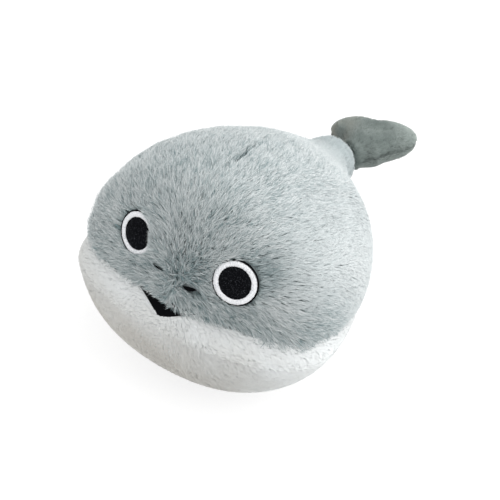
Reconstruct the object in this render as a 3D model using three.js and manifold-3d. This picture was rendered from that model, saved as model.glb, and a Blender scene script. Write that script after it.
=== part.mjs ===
// Plush fish, about 30 cm long, resting on its belly.
// Millimetres. The nose points to -Y, the fish's left side to +X, up is +Z.
// The origin is the middle of the flat patch that the belly rests on.
import * as THREE from "three";
import { mergeVertices } from "three/addons/utils/BufferGeometryUtils.js";
import Module from "manifold-3d";

// Body, measured over the tips of the pile
const halfWidth = 115;
const noseLength = 84;      // from the widest station forward to the nose
const rearLength = 133;     // from the widest station back to the root of the tail
const backHeight = 90;      // from the widest line up to the back
const bellyDepth = 95.5;    // from the widest line down to the round belly
const settle = 4;           // how far the round belly flattens under the fish's weight
const settleRound = 1;      // radius that eases the side of the belly into the settled part
const restCut = 0.5;        // depth of the flat cut that the fish rests on
const noseHeight = 49.5;    // height of the nose above the round belly
const rootRadius = 27.5;    // where the body ends and the tail begins
const rootHeight = 83;      // height of that end above the round belly

// Roundness of the profiles: 2 is an ellipse, less is more pointed, more is blunter
const noseBluntness = 3.05;
const noseWidthRound = 2.15;
const noseTopRound = 1.75;
const noseBellyRound = 1.5;
const rearBluntness = 1.83;
const rearWidthRound = 1.31;
const rearTopRound = 1.15;
const rearBellyRound = 1.95;
const backRound = 1.82;
const bellyRound = 2.05;

// Cover of long pile fabric, and what is sewn to it
const coverThickness = 7;   // backing cloth and lying pile together
const seamGap = 0.3;        // running gap between sewn pieces
const seamNoseHeight = 94.5;  // belly seam above the table at the nose
const seamSlope = 0.215;    // fall of the belly seam toward the tail
const lipBulge = 10;        // how far the white lip stands out below the seam
const lipRise = 16;         // height over which the lip swells out
const lipReach = 1.2;       // length over which it fades out along the side, in nose lengths
const lipEnd = 0.35;        // where it has faded out behind the widest station, in nose lengths

// Mouth, a triangle of black felt set under the seam
const mouthWidth = 50;
const mouthDrop = 10.5;
const mouthShift = -6;      // the mouth is sewn a little to the fish's right
const mouthSink = 2.5;      // how far the felt lies below the pile tips

// Eyes, embroidered discs set in shallow pockets of the cover
const eyeSpacing = 88.7;
const eyeShift = 0.9;       // the pair is sewn a little to the fish's left
const eyeHeight = 130.3;    // above the table
const eyeTilt = 1.8;        // the right eye is sewn this much higher
const eyeDiameter = 36;
const whiteDiameter = 33.4;
const pupilDiameter = 26.4;
const eyePocket = 4.6;      // depth of the pocket below the pile tips
const eyeThickness = 2.4;
const eyeCrown = 0.8;       // how much the embroidery swells in the middle

// Nostrils, one thick stitch each
const nostrilSpacing = 30.3;
const nostrilShift = -2.7;
const nostrilHeight = 114.4;
const nostrilTilt = 3.5;    // the right one is sewn this much higher
const nostrilLength = 8;
const nostrilThread = 2;
const nostrilSlant = 10;    // degrees, the outer ends higher

// Tail stem, a round stump
const pivotBack = 120;      // where the stem bends, behind the widest station
const pivotHeight = 79;
const stumpBack = 160;      // where the fluke bends
const stumpHeight = 73;
const stemRadius = 25.5;
const stumpRadius = 25;
const tailSwing = 20;       // degrees to each side
const socketGap = 0.3;
const swingClearance = 0.6;

// Fluke, a flat two-lobed cushion behind the stem
const flukeSide = 19.4;     // middle of the fluke's root, which lies to the fish's left
const flukeBack = 194.5;
const flukeHeight = 72.2;
const flukeYaw = 7.6;       // degrees, as it lies in the photographed fish
const flukePitch = -1.2;
const flukeTwist = -9.3;
const flukeHalfSpan = 42.7;
const flukeChord = 44.8;
const flukeNotch = 5.6;     // depth of the notch between the lobes
const flukeThickness = 31.8;
const flukeNeckRadius = 14;
const flukeEdge = 0.34;     // how much thinner the fluke is at the tips of its lobes
const flukeCover = 3;       // short pile cloth

// Steps of the forms
const bodyStations = 26;
const bodySteps = 7;        // round each quarter of a section
const innerStations = 13;
const innerSteps = 4;
const stationEasing = 1.2;  // above 1, stations lie closer together at the nose
const lowerEasing = 1.1;    // above 1, steps lie closer together under the belly
const roundSteps = 10;      // from pole to pole of a ball, and half of those round a bar
const discSteps = 28;

const tailPivot = new THREE.Vector3(0, pivotBack, pivotHeight);
const stumpEnd = new THREE.Vector3(0, stumpBack, stumpHeight);
const flukeRoot = new THREE.Vector3(flukeSide, flukeBack, flukeHeight);
const radians = THREE.MathUtils.degToRad;
const wasm = await Module();
wasm.setup();
const { Manifold } = wasm;

// Solids from three.js geometry
function solid(geometry, placement = new THREE.Matrix4()) {
  const placed = geometry.index ? geometry.toNonIndexed() : geometry.clone();
  placed.applyMatrix4(placement);
  placed.deleteAttribute("normal");
  placed.deleteAttribute("uv");
  const welded = mergeVertices(placed, 1e-4);
  return new Manifold(new wasm.Mesh({
    numProp: 3,
    vertProperties: new Float32Array(welded.attributes.position.array),
    triVerts: new Uint32Array(welded.index.array),
  }));
}

function geometryOf(manifold) {
  const mesh = manifold.getMesh();
  const geometry = new THREE.BufferGeometry();
  geometry.setAttribute("position", new THREE.BufferAttribute(new Float32Array(mesh.vertProperties), 3));
  geometry.setIndex(new THREE.BufferAttribute(new Uint32Array(mesh.triVerts), 1));
  geometry.computeVertexNormals();
  return geometry;
}

// A closed skin over rings of points, with a fan to a middle point at each end
function skin(rings) {
  const points = [];
  const faces = [];
  const count = rings[0].length;
  rings.forEach((ring) => ring.forEach((point) => points.push(point.x, point.y, point.z)));
  for (let row = 0; row + 1 < rings.length; row += 1) {
    for (let k = 0; k < count; k += 1) {
      const a = row * count + k;
      const b = row * count + ((k + 1) % count);
      faces.push(a, b, a + count, b, b + count, a + count);
    }
  }
  [0, rings.length - 1].forEach((row) => {
    const middle = new THREE.Vector3();
    rings[row].forEach((point) => middle.addScaledVector(point, 1 / count));
    points.push(middle.x, middle.y, middle.z);
    const hub = points.length / 3 - 1;
    for (let k = 0; k < count; k += 1) {
      const a = row * count + k;
      const b = row * count + ((k + 1) % count);
      faces.push(...(row === 0 ? [hub, b, a] : [hub, a, b]));
    }
  });
  const geometry = new THREE.BufferGeometry();
  geometry.setAttribute("position", new THREE.Float32BufferAttribute(points, 3));
  geometry.setIndex(faces);
  return geometry;
}

const power = (value, exponent) => Math.sign(value) * Math.abs(value) ** exponent;
const mix = THREE.MathUtils.lerp;
const ease = (value) => THREE.MathUtils.smoothstep(value, 0, 1);
const seamHeight = (y) => seamNoseHeight - seamSlope * (y + noseLength);

// One cross-section of the body. The station runs from 0 at the nose to 1 at the tail root,
// and the inset is the depth below the pile tips.
function bodySection(station, inset) {
  const angle = station * Math.PI;
  const along = Math.cos(angle);
  const across = Math.sin(angle);
  const nose = along > 0;
  const end = nose ? 0 : rootRadius - inset;
  const length = (nose ? noseLength : rearLength) - inset;
  const bluntness = nose ? noseBluntness : rearBluntness;
  const wide = across ** (2 / (nose ? noseWidthRound : rearWidthRound));
  const high = across ** (2 / (nose ? noseTopRound : rearTopRound));
  const deep = across ** (2 / (nose ? noseBellyRound : rearBellyRound));
  return {
    y: -power(along, 2 / bluntness) * length,
    width: mix(end, halfWidth - inset, wide),
    top: mix(end, backHeight - inset, high),
    bottom: mix(end, bellyDepth - inset, deep),
    middle: mix(nose ? noseHeight : rootHeight, bellyDepth, deep) - settle,
  };
}

// The weight of the fish presses the lowest part of the belly flat. The lowest point
// then lies the depth of the flat cut below the table.
const pressed = (height) => (height + Math.hypot(height, 2 * settleRound)) / 2;
const settled = (z, inset) => inset + pressed(z - inset) - pressed(-settle) - restCut;

function bodyPoint(section, angle, inset) {
  const side = Math.cos(angle);
  const rise = Math.sin(angle);
  const roundness = 2 / (rise > 0 ? backRound : bellyRound);
  let x = section.width * power(side, roundness);
  let y = section.y;
  const reach = rise > 0 ? section.top : section.bottom;
  const z = section.middle + reach * power(rise, roundness);
  const below = ease((seamHeight(y) - z) / lipRise);
  const front = THREE.MathUtils.clamp((lipEnd * noseLength - y) / (lipReach * noseLength), 0, 1);
  const sideways = x / halfWidth;
  const forward = Math.min(y, 0) / noseLength;
  const outward = Math.max(Math.hypot(sideways, forward), 1e-6);
  const bulge = (lipBulge * below * front * Math.min(outward, 1)) / outward;
  x += bulge * sideways;
  y += bulge * forward;
  return new THREE.Vector3(x, y, settled(z, inset));
}

// The rings of points share their steps so that one row of points follows the seam,
// up to this many degrees from the side of the section
const seamLimit = 75;
function seamAngle(section) {
  const offset = seamHeight(section.y) - section.middle;
  const reach = offset > 0 ? section.top : section.bottom;
  const share = Math.min(Math.abs(offset) / reach, 1);
  const angle = Math.asin(share ** ((offset > 0 ? backRound : bellyRound) / 2));
  return Math.sign(offset) * Math.min(angle, radians(seamLimit));
}

function bodyForm(inset, stations, steps) {
  const rings = [];
  for (let row = 1; row <= stations; row += 1) {
    const section = bodySection((row / stations) ** stationEasing, inset);
    const seam = seamAngle(section);
    const half = [];
    for (let k = 0; k <= steps; k += 1) {
      half.push(mix(-Math.PI / 2, seam, Math.sin((k / steps) * Math.PI / 2) ** lowerEasing));
    }
    for (let k = 1; k < steps; k += 1) {
      half.push(mix(seam, Math.PI / 2, k / steps));
    }
    const angles = [...half, Math.PI / 2, ...half.slice(1).reverse().map((angle) => Math.PI - angle)];
    rings.push(angles.map((angle) => bodyPoint(section, angle, inset)).reverse());
  }
  return solid(skin(rings));
}

function box(width, depth, height, placement) {
  return solid(new THREE.BoxGeometry(width, depth, height), placement);
}

// A cutter for a ball seat: even the flats of its facets lie outside the radius
function ball(centre, radius) {
  const corner = radius / Math.cos(Math.PI / (2 * roundSteps)) ** 2;
  const shape = new THREE.SphereGeometry(corner, 2 * roundSteps, roundSteps);
  return solid(shape, new THREE.Matrix4().makeTranslation(centre));
}

// A turned form along the line from one point to another, its profile in radius and distance
function turned(profile, from, to, segments) {
  const lathe = new THREE.LatheGeometry(profile.map(([r, h]) => new THREE.Vector2(r, h)), segments);
  const direction = to.clone().sub(from).normalize();
  const turn = new THREE.Quaternion().setFromUnitVectors(new THREE.Vector3(0, 1, 0), direction);
  return solid(lathe, new THREE.Matrix4().compose(from, turn, new THREE.Vector3(1, 1, 1)));
}

// A round bar with domed ends, from one radius to another
function capsuleProfile(startRadius, endRadius, length, steps) {
  const profile = [];
  for (let k = 0; k <= steps; k += 1) {
    const angle = (k / steps) * Math.PI / 2;
    profile.push([startRadius * Math.sin(angle), -startRadius * Math.cos(angle)]);
  }
  for (let k = 0; k <= steps; k += 1) {
    const angle = (k / steps) * Math.PI / 2;
    profile.push([endRadius * Math.cos(angle), length + endRadius * Math.sin(angle)]);
  }
  profile[0][0] = 0;
  profile[profile.length - 1][0] = 0;
  return profile;
}

// Big cutters: the side above the belly seam, and the table
const far = 4 * halfWidth;
const seamTurn = new THREE.Quaternion().setFromAxisAngle(new THREE.Vector3(1, 0, 0), -Math.atan(seamSlope));
function seamBlock(side) {
  const shift = new THREE.Vector3(0, 0, side * (far + seamGap) / 2).applyQuaternion(seamTurn);
  const place = new THREE.Vector3(0, 0, seamHeight(0)).add(shift);
  return box(far, far, far, new THREE.Matrix4().compose(place, seamTurn, new THREE.Vector3(1, 1, 1)));
}
const aboveSeam = seamBlock(1);
const belowSeam = seamBlock(-1);
const sideBlock = (side) => box(far, far, far, new THREE.Matrix4().makeTranslation(side * (far + seamGap) / 2, 0, 0));
const table = box(far, far, far, new THREE.Matrix4().makeTranslation(0, 0, -far / 2));

// Tail socket: a ball seat, and a flare that clears the stem when the tail swings
const stemDirection = stumpEnd.clone().sub(tailPivot).normalize();
const swing = radians(tailSwing);
const flareStart = -stemRadius * Math.sin(swing) - swingClearance;
const flareEnd = rearLength;
const flareRadius = (distance) => (
  stemRadius / Math.cos(swing) + distance * Math.tan(swing) + swingClearance
);
const socket = ball(tailPivot, stemRadius + socketGap).add(turned(
  [[0, flareStart], [flareRadius(flareStart), flareStart], [flareRadius(flareEnd), flareEnd], [0, flareEnd]],
  tailPivot, stumpEnd, 2 * roundSteps,
));

// The point on the front of the cover at this side distance and height, and the way it faces.
// It is found in small steps that start from the middle of the fish's forehead.
const searchPasses = 40;
const searchPace = 0.6;
const foreheadStation = 0.28;
const frontStations = [0.03, 0.48];
const frontAngles = [0.05, 1.55];
function surfaceAt(x, height) {
  const point = (atStation, atAngle) => bodyPoint(bodySection(atStation, 0), atAngle, 0);
  let station = foreheadStation;
  let angle = 1;
  const reach = Math.abs(x);
  const small = 1e-3;
  for (let pass = 0; pass < searchPasses; pass += 1) {
    const here = point(station, angle);
    const byStation = point(station + small, angle).sub(here).divideScalar(small);
    const byAngle = point(station, angle + small).sub(here).divideScalar(small);
    const determinant = byStation.x * byAngle.z - byAngle.x * byStation.z;
    const dx = reach - here.x;
    const dz = height - here.z;
    station += searchPace * (dx * byAngle.z - dz * byAngle.x) / determinant;
    angle += searchPace * (dz * byStation.x - dx * byStation.z) / determinant;
    station = THREE.MathUtils.clamp(station, ...frontStations);
    angle = THREE.MathUtils.clamp(angle, ...frontAngles);
  }
  const here = point(station, angle);
  const normal = point(station + small, angle).sub(here)
    .cross(point(station, angle + small).sub(here)).normalize();
  if (normal.y > 0) {
    normal.negate();
  }
  here.x *= Math.sign(x);
  normal.x *= Math.sign(x);
  return { here, normal };
}

// A ring of embroidery, or a disc where its inner radius is 0, that swells by its crown
function eyeDisc(seat, inner, outer, bottom, top, crown) {
  const middle = (inner + outer) / 2;
  const profile = inner === 0
    ? [[0, bottom], [outer, bottom], [outer, top], [middle, top + 0.75 * crown], [0, top + crown]]
    : [[inner, bottom], [outer, bottom], [outer, top], [middle, top + crown], [inner, top], [inner, bottom]];
  return turned(profile, seat.here, seat.here.clone().add(seat.normal), discSteps);
}

const eyeSides = [["left", 1], ["right", -1]];
const eyes = eyeSides.map(([name, side]) => {
  const seat = surfaceAt(eyeShift + side * eyeSpacing / 2, eyeHeight + (side < 0 ? eyeTilt : 0));
  const bottom = -eyePocket + seamGap;
  const top = bottom + eyeThickness;
  return {
    name,
    pocket: eyeDisc(seat, 0, eyeDiameter / 2 + seamGap, -eyePocket, eyeDiameter / 2, eyeCrown),
    outline: eyeDisc(seat, whiteDiameter / 2 + seamGap, eyeDiameter / 2, bottom, top, seamGap),
    white: eyeDisc(seat, pupilDiameter / 2 + seamGap, whiteDiameter / 2, bottom, top, eyeCrown),
    pupil: eyeDisc(seat, 0, pupilDiameter / 2, bottom, top, eyeCrown),
  };
});

// Nostrils: a stitch lying in the cover, with its groove
const nostrils = eyeSides.map(([name, side]) => {
  const height = nostrilHeight + (side < 0 ? nostrilTilt : 0);
  const seat = surfaceAt(nostrilShift + side * nostrilSpacing / 2, height);
  const slant = radians(nostrilSlant);
  const along = new THREE.Vector3(Math.cos(slant), 0, side * Math.sin(slant));
  along.addScaledVector(seat.normal, -along.dot(seat.normal)).normalize();
  const depth = nostrilThread + seamGap;
  const start = seat.here.clone().addScaledVector(seat.normal, -depth).addScaledVector(along, -nostrilLength / 2);
  const end = start.clone().addScaledVector(along, nostrilLength);
  const bar = (radius, lift) => turned(
    capsuleProfile(radius, radius, nostrilLength, 3),
    start.clone().addScaledVector(seat.normal, lift),
    end.clone().addScaledVector(seat.normal, lift),
    roundSteps,
  );
  return { name, stitch: bar(nostrilThread, 0), groove: bar(depth, 0).add(bar(depth, depth)) };
});

// Mouth: a triangle seen from the front, cut through the cover under the seam
function mouthPrism(grow) {
  const top = seamHeight(mouthSink - noseLength) - seamGap / 2;
  const half = mouthWidth / 2 + 2 * grow;
  const triangle = new THREE.Shape();
  triangle.moveTo(-half, top);
  triangle.lineTo(0, top - mouthDrop - grow);
  triangle.lineTo(half, top);
  triangle.lineTo(half, top + mouthDrop);
  triangle.lineTo(-half, top + mouthDrop);
  triangle.closePath();
  const prism = new THREE.ExtrudeGeometry(triangle, { depth: noseLength, bevelEnabled: false });
  const stand = new THREE.Matrix4().makeRotationX(Math.PI / 2);
  const place = new THREE.Matrix4().makeTranslation(mouthShift, -noseLength / 2, 0);
  return solid(prism, place.multiply(stand));
}

// Body pieces
const outerForm = bodyForm(0, bodyStations, bodySteps);
const innerForm = bodyForm(coverThickness, innerStations, innerSteps);
const fillingForm = bodyForm(coverThickness + seamGap, innerStations, innerSteps);
const cover = outerForm.subtract(innerForm).subtract(table).subtract(socket);
const pockets = eyes.map((eye) => eye.pocket).concat(nostrils.map((nostril) => nostril.groove));
const upperCover = pockets.reduce((rest, pocket) => rest.subtract(pocket), cover.intersect(aboveSeam));
const bellyCover = cover.intersect(belowSeam).subtract(mouthPrism(seamGap));
const feltFace = bodyForm(mouthSink, bodyStations, bodySteps);
const feltBack = bodyForm(coverThickness, bodyStations, bodySteps);
const mouthPatch = feltFace.subtract(feltBack).intersect(belowSeam).intersect(mouthPrism(0));
const mouthSeat = mouthPrism(seamGap).subtract(bodyForm(coverThickness + seamGap, bodyStations, bodySteps));
const bodyFilling = fillingForm.subtract(socket).subtract(mouthSeat);

// Tail stem pieces
const stemSteps = 5;
const stemLength = stumpEnd.distanceTo(tailPivot);
const stemProfile = capsuleProfile(stemRadius, stumpRadius, stemLength, stemSteps);
const stemForm = turned(stemProfile, tailPivot, stumpEnd, 2 * roundSteps);

// The core is open toward the body: a straight bar in place of its first dome
function stemCore(gap) {
  const inset = coverThickness + gap;
  const core = capsuleProfile(stemRadius - inset, stumpRadius - inset, stemLength, stemSteps);
  const opening = [[0, -stemLength], [stemRadius - inset, -stemLength]];
  return turned([...opening, ...core.slice(stemSteps + 1)], tailPivot, stumpEnd, 2 * roundSteps);
}
const stemCover = stemForm.subtract(stemCore(0));
const stemFilling = stemForm.intersect(stemCore(seamGap));

// Fluke pieces, in the fluke's own frame: u to the side, v back from the root
const flukeFrame = new THREE.Matrix4().makeRotationFromEuler(
  new THREE.Euler(radians(flukePitch), radians(flukeTwist), radians(flukeYaw), "ZXY"),
).setPosition(flukeRoot);

// Half of the outline, from the neck round the lobe to the notch
const flukeOutline = new THREE.SplineCurve([
  new THREE.Vector2(0, -0.34 * flukeChord),
  new THREE.Vector2(flukeNeckRadius, -0.22 * flukeChord),
  new THREE.Vector2(0.52 * flukeHalfSpan, 0.04 * flukeChord),
  new THREE.Vector2(0.87 * flukeHalfSpan, 0.35 * flukeChord),
  new THREE.Vector2(flukeHalfSpan, 0.6 * flukeChord),
  new THREE.Vector2(0.85 * flukeHalfSpan, 0.91 * flukeChord),
  new THREE.Vector2(0.42 * flukeHalfSpan, 1.03 * flukeChord),
  new THREE.Vector2(0, flukeChord - flukeNotch),
]);

// The top of the cushion lies over this smaller outline, drawn in toward the middle of the fluke
const spineWidth = 0.61;
const spineLength = 0.33;
const spineMiddle = 0.27;
const spinePoint = (edge) => new THREE.Vector2(
  spineWidth * edge.x,
  mix(spineMiddle * flukeChord, edge.y, spineLength),
);

function flukeForm(inset, steps, levels) {
  const half = flukeOutline.getPoints(steps);
  const loop = [...half, ...half.slice(1, -1).reverse().map((point) => new THREE.Vector2(-point.x, point.y))];
  const spine = loop.map((point) => spinePoint(point));
  const rings = [];
  for (let level = 1; level < 2 * levels; level += 1) {
    const angle = mix(-Math.PI / 2, Math.PI / 2, level / (2 * levels));
    rings.push(loop.map((point, k) => {
      const inward = spine[k].clone().sub(point);
      const edge = point.clone().addScaledVector(inward, inset / inward.length());
      const flat = edge.lerp(spine[k], 1 - Math.cos(angle));
      const outward = Math.min(Math.abs(flat.x) / flukeHalfSpan, 1);
      const height = (flukeThickness / 2) * (1 - flukeEdge * outward ** 2) - inset;
      return new THREE.Vector3(flat.x, flat.y, height * Math.sin(angle));
    }));
  }
  const round = solid(skin(rings), flukeFrame);
  const radius = flukeNeckRadius - inset;
  const neckLength = flukeRoot.distanceTo(stumpEnd);
  const neck = turned(capsuleProfile(radius, radius, neckLength, 4), stumpEnd, flukeRoot, 2 * roundSteps);
  return round.add(neck);
}

function flukeHalf(side) {
  const shift = new THREE.Matrix4().makeTranslation(0, 0, side * (far + seamGap) / 2);
  return box(far, far, far, flukeFrame.clone().multiply(shift));
}
const stumpSeat = ball(stumpEnd, stumpRadius + socketGap);
const flukeOuter = flukeForm(0, 14, 5);
const flukeInner = flukeForm(flukeCover, 11, 4);
const flukeShell = flukeOuter.subtract(flukeInner).subtract(stumpSeat);
const flukeFilling = flukeForm(flukeCover + seamGap, 11, 4).subtract(stumpSeat);

// Materials, by the look of each cloth and thread
const greyPile = { color: 0xbcc8c8, roughness: 0.95, metalness: 0 };
const whitePile = { color: 0xe6eaeb, roughness: 0.95, metalness: 0 };
const darkPile = { color: 0x7f8b89, roughness: 0.9, metalness: 0 };
const blackFelt = { color: 0x17181b, roughness: 1, metalness: 0 };
const blackThread = { color: 0x15161a, roughness: 0.6, metalness: 0 };
const whiteThread = { color: 0xf1f3f4, roughness: 0.6, metalness: 0 };
const fibre = { color: 0xf4f4f0, roughness: 1, metalness: 0 };

const fish = new THREE.Group();
function add(name, shape, look) {
  const mesh = new THREE.Mesh(geometryOf(shape), new THREE.MeshStandardMaterial(look));
  mesh.name = name;
  fish.add(mesh);
}

add("body_filling", bodyFilling, fibre);
add("upper_cover_left", upperCover.intersect(sideBlock(1)), greyPile);
add("upper_cover_right", upperCover.intersect(sideBlock(-1)), greyPile);
add("belly_cover", bellyCover, whitePile);
add("mouth_patch", mouthPatch, blackFelt);
eyes.forEach((eye) => {
  add(`eye_outline_${eye.name}`, eye.outline, blackThread);
  add(`eye_white_${eye.name}`, eye.white, whiteThread);
  add(`eye_pupil_${eye.name}`, eye.pupil, blackThread);
});
nostrils.forEach((nostril) => add(`nostril_stitch_${nostril.name}`, nostril.stitch, blackThread));
add("tail_stem_cover", stemCover, greyPile);
add("tail_stem_filling", stemFilling, fibre);
add("fluke_top_cover", flukeShell.intersect(flukeHalf(1)), darkPile);
add("fluke_bottom_cover", flukeShell.intersect(flukeHalf(-1)), darkPile);
add("fluke_filling", flukeFilling, fibre);

export default fish;
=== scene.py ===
"""Plush fish: the looks. Long pile on a stuffed body, a felt mouth, embroidered eyes and a soft tail.

The shapes are worked out in millimetres and turned into metres when a mesh is made.
"""
import math

import bmesh
import bpy
import numpy as np
from mathutils import Matrix, Vector


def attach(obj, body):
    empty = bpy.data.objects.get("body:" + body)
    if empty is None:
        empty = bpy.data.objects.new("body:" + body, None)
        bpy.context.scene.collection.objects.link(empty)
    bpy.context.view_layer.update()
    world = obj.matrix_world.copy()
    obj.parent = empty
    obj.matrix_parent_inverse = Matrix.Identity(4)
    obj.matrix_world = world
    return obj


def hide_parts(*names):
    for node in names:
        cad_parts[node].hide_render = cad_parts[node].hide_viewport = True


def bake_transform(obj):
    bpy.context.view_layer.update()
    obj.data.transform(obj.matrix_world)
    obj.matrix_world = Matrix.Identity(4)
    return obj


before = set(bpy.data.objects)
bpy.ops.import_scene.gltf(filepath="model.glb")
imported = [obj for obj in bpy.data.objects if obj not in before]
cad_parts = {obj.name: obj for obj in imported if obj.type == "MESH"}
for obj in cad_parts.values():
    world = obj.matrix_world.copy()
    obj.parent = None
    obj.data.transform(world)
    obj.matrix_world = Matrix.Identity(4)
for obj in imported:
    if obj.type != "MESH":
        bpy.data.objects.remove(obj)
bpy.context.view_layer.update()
random = np.random.default_rng(20)

# Form of the body over the pile tips, as in the solids
HALF_WIDTH = 115
NOSE_LENGTH = 84
REAR_LENGTH = 133
BACK_HEIGHT = 90
BELLY_DEPTH = 95.5
SETTLE = 4
SETTLE_ROUND = 1
REST_CUT = 0.5
NOSE_HEIGHT = 49.5
ROOT_RADIUS = 27.5
ROOT_HEIGHT = 83
NOSE_ROUND = {"along": 3.05, "wide": 2.15, "high": 1.75, "deep": 1.5}
REAR_ROUND = {"along": 1.83, "wide": 1.31, "high": 1.15, "deep": 1.95}
BACK_ROUND = 1.82
BELLY_ROUND = 2.05
SEAM_HEIGHT = 94.5
SEAM_SLOPE = 0.215
LIP_BULGE = 10
LIP_RISE = 16
LIP_REACH = 1.2
LIP_END = 0.35

# Depths below the pile tips
CLOTH_DEPTH = {"grey_pile": 5.4, "white_pile": 1.6}
CLOTH_THICKNESS = 1.2
FILLING_DEPTH = 7.3
FELT_DEPTH = 0.9
FELT_THICKNESS = 3.2
GROOVE_SHARE = 0.9    # how much of a groove the cloth and the filling follow
FLOOR_GAP = 0.6       # how far the cloth stays above the floor
PILE_GAP = 0.15       # how far the pile does

# The groove of the belly seam on its lower and its upper side
GROOVE_DEPTHS = (1.6, 2.8)
GROOVE_WIDTHS = (5, 4)

WAVES = 7             # how many waves make up the smooth noise

# Tail
TAIL_PIVOT = np.array([0, 120, 79.0])
STUMP_END = np.array([0.9, 160, 72.1])
STEM_RADIUS = 27
STUMP_RADIUS = 25.5
STUMP_DOME = 22.5
ROOT_START = 83       # where the body begins to turn into the tail, behind its widest station
STEM_START = 36       # where along the stem's axis it has the stem's radius
ROOT_LEAVE = 0.37     # how far the cloth keeps its course at each end of that turn
ROOT_ARRIVE = 0.2

# Mouth
MOUTH = np.array([-6.2, -79.0, 93.4])
MOUTH_HALF = 27.5
MOUTH_DROP = 10.6
MOUTH_BACK = -40      # nothing behind this counts as near the mouth


def unit(vectors):
    return vectors / np.maximum(np.linalg.norm(vectors, axis=-1, keepdims=True), 1e-9)


def lengths(vectors):
    return np.linalg.norm(vectors, axis=1)


def dot(a, b):
    return (a * b).sum(-1, keepdims=True)


def ease(value):
    value = np.clip(value, 0, 1)
    return value * value * (3 - 2 * value)


def mix(a, b, share):
    return a + (b - a) * share


def signed_power(value, exponent):
    return np.sign(value) * np.abs(value) ** exponent


def bell(distance, radius):
    """1 at no distance, fading to 0 past the radius."""
    return np.exp(-((distance / radius) ** 2))


def spot(points, place, radius):
    """1 at the place, fading to 0 around it."""
    return bell(lengths(points - np.array(place)), radius)


def outward(points, normals):
    """Whether these normals point away from the middle of the body."""
    return ((points - [0, 0, 80]) * normals).sum() > 0


def seam_height(y):
    return SEAM_HEIGHT - SEAM_SLOPE * (y + NOSE_LENGTH)


def pressed(height):
    return (height + np.hypot(height, 2 * SETTLE_ROUND)) / 2


def body_points(station, angle):
    """Points on the pile tips. The station runs from 0 at the nose to 1 at the tail root."""
    along = np.cos(station * np.pi)
    across = np.sin(station * np.pi)
    nose = along > 0
    rounds = {k: np.where(nose, NOSE_ROUND[k], REAR_ROUND[k]) for k in NOSE_ROUND}
    end = np.where(nose, 0, ROOT_RADIUS)
    y = -signed_power(along, 2 / rounds["along"]) * np.where(nose, NOSE_LENGTH, REAR_LENGTH)
    wide, high, deep = (across ** (2 / rounds[k]) for k in ("wide", "high", "deep"))
    middle = mix(np.where(nose, NOSE_HEIGHT, ROOT_HEIGHT), BELLY_DEPTH, deep) - SETTLE
    side = np.cos(angle)
    rise = np.sin(angle)
    roundness = 2 / np.where(rise > 0, BACK_ROUND, BELLY_ROUND)
    x = mix(end, HALF_WIDTH, wide) * signed_power(side, roundness)
    reach = np.where(rise > 0, mix(end, BACK_HEIGHT, high), mix(end, BELLY_DEPTH, deep))
    z = middle + reach * signed_power(rise, roundness)
    below = ease((seam_height(y) - z) / LIP_RISE)
    front = np.clip((LIP_END * NOSE_LENGTH - y) / (LIP_REACH * NOSE_LENGTH), 0, 1)
    sideways = x / HALF_WIDTH
    forward = np.minimum(y, 0) / NOSE_LENGTH
    outward = np.maximum(np.hypot(sideways, forward), 1e-6)
    bulge = LIP_BULGE * below * front * np.minimum(outward, 1) / outward
    z = pressed(z) - pressed(-SETTLE) - REST_CUT
    return np.stack([x + bulge * sideways, y + bulge * forward, z], -1)


def wobble(points, scale, seed):
    """Smooth noise of about -1 to 1 with features of that size in millimetres."""
    source = np.random.default_rng(seed)
    waves = source.normal(0, 2 / scale, (WAVES, 3))
    phases = source.uniform(0, 2 * np.pi, WAVES)
    return np.sin(points @ waves.T + phases).sum(-1) / math.sqrt(WAVES)


# Dents of the stuffed cloth: place, radius and depth, which is below 0 for a bump
DENTS = [
    ((65, -47, 146), 13, 5.0), ((-20, -66, 133), 10, -5.0), ((92, -70, 62), 16, 1.5),
    ((-4, -58, 151), 6, 2.0), ((3, -64, 141), 5, 2.5), ((1, -67, 132), 5, 2.5),
    ((-1, -70, 124), 5, 2.5), ((-3, -73, 116), 6, 2.5),
]

# Where the grey pile hangs furthest over the lip: place and radius
FRINGE = [((83, -68, 92), 17), ((95, -60, 90), 11)]


def at_fringe(points):
    """1 in these places, fading to 0 around them."""
    return np.max([spot(points, place, radius) for place, radius in FRINGE], axis=0)


def near_mouth(points):
    """1 at the mouth, fading to 0 beside it."""
    x, y, z = points.T
    return bell(x - MOUTH[0], 22) * (y < MOUTH_BACK) * bell(z - MOUTH[2], 20)


def groove_depth(points):
    """How far the cloth is drawn in at its seams, and how far it is dented."""
    x, y, z = points.T
    seam = (z - seam_height(y)) / math.hypot(1, SEAM_SLOPE)
    above_seam = seam > 0
    depth = mix(*GROOVE_DEPTHS, above_seam) * bell(seam, mix(*GROOVE_WIDTHS, above_seam))
    depth = depth * ease((110 - y) / 30) * (1 - np.maximum(0.7 * near_mouth(points), 0.8 * at_fringe(points)))
    middle = bell(x, 2.4) * ease(seam / 12)
    depth = depth + middle * mix(0.3, 2.3, ease((y + 45) / 45)) * ease((70 - y) / 40)
    for place, radius, deep in DENTS:
        depth = depth + deep * spot(points, place, radius)
    return depth


def add_object(name, data):
    piece = bpy.data.objects.new(name, data)
    bpy.context.scene.collection.objects.link(piece)
    return piece


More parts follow.
